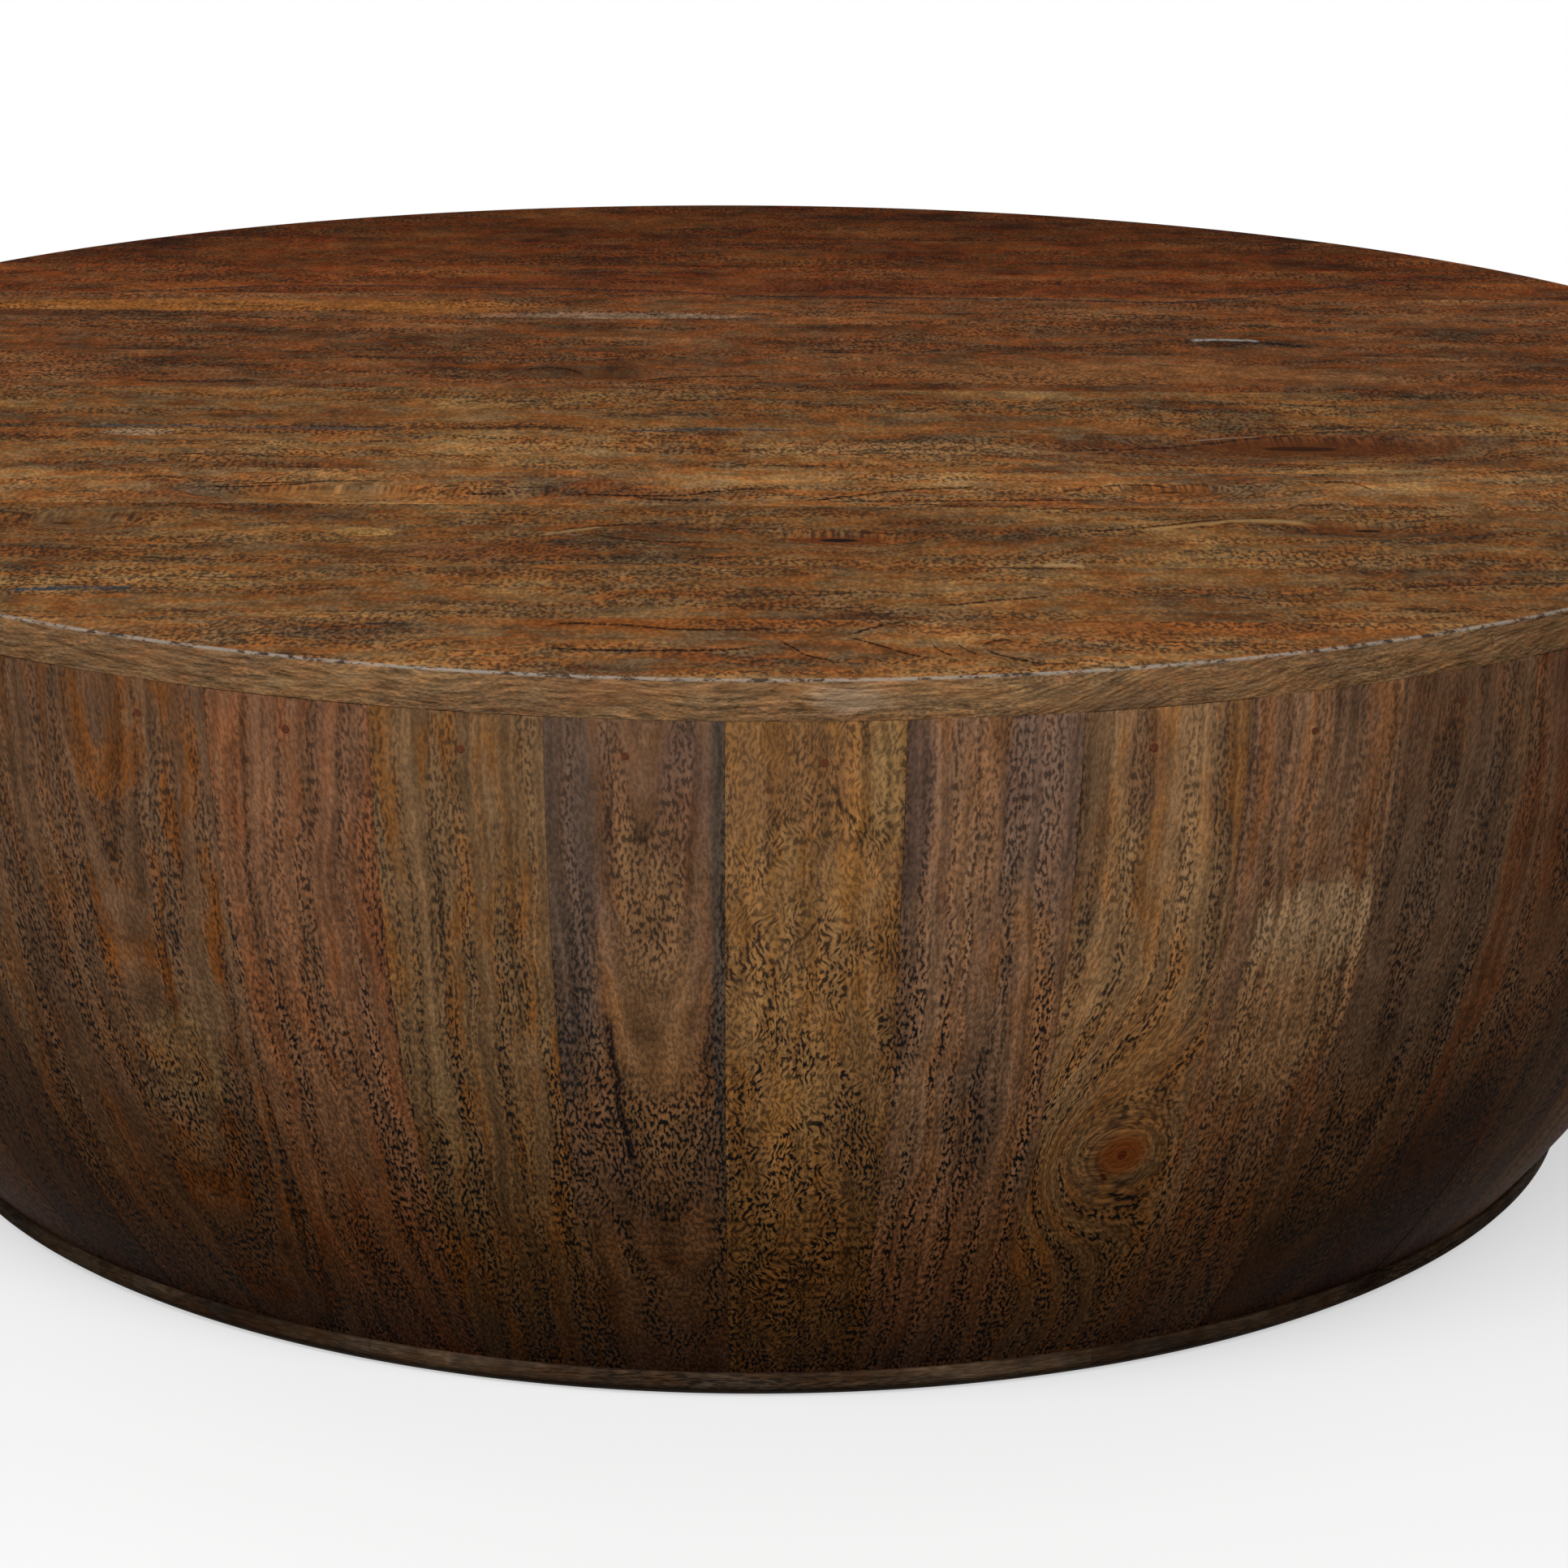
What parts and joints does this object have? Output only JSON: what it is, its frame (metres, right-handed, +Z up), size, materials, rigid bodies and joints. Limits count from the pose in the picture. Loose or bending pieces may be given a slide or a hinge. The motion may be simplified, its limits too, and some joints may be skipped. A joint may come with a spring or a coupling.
{
  "type": "round drum coffee table",
  "caption": "Low round drum table: a disc of glued boards on a bowl-shaped shell of upright wooden staves, with a thin foot band.",
  "frame": {"origin": "centre of the footprint, on the floor", "axes": "+Z up, -Y towards the front of the picture, boards of the top along X"},
  "size_m": [1.22, 1.2196, 0.404],
  "materials": {
    "top_wood": "brown stained hardwood, satin lacquer",
    "stave_wood": "brown stained hardwood, satin lacquer",
    "band_wood": "dark stained hardwood, satin lacquer",
    "frame_wood": "bare sawn hardwood"
  },
  "bodies": {
    "root": {"top_boards": "top_wood", "stave_01": "stave_wood", "stave_02": "stave_wood", "stave_03": "stave_wood", "stave_04": "stave_wood", "stave_05": "stave_wood", "stave_06": "stave_wood", "stave_07": "stave_wood", "stave_08": "stave_wood", "stave_09": "stave_wood", "stave_10": "stave_wood", "stave_11": "stave_wood", "stave_12": "stave_wood", "stave_13": "stave_wood", "stave_14": "stave_wood", "stave_15": "stave_wood", "stave_16": "stave_wood", "stave_17": "stave_wood", "stave_18": "stave_wood", "stave_19": "stave_wood", "stave_20": "stave_wood", "stave_21": "stave_wood", "stave_22": "stave_wood", "stave_23": "stave_wood", "stave_24": "stave_wood", "stave_25": "stave_wood", "stave_26": "stave_wood", "stave_27": "stave_wood", "stave_28": "stave_wood", "stave_29": "stave_wood", "stave_30": "stave_wood", "stave_31": "stave_wood", "stave_32": "stave_wood", "stave_33": "stave_wood", "stave_34": "stave_wood", "stave_35": "stave_wood", "stave_36": "stave_wood", "stave_37": "stave_wood", "stave_38": "stave_wood", "stave_39": "stave_wood", "stave_40": "stave_wood", "stave_41": "stave_wood", "stave_42": "stave_wood", "stave_43": "stave_wood", "stave_44": "stave_wood", "stave_45": "stave_wood", "stave_46": "stave_wood", "stave_47": "stave_wood", "stave_48": "stave_wood", "top_ring": "frame_wood", "base_ring": "frame_wood", "foot_band": "band_wood", "batten_left": "frame_wood", "batten_right": "frame_wood"}
  },
  "joints": []
}
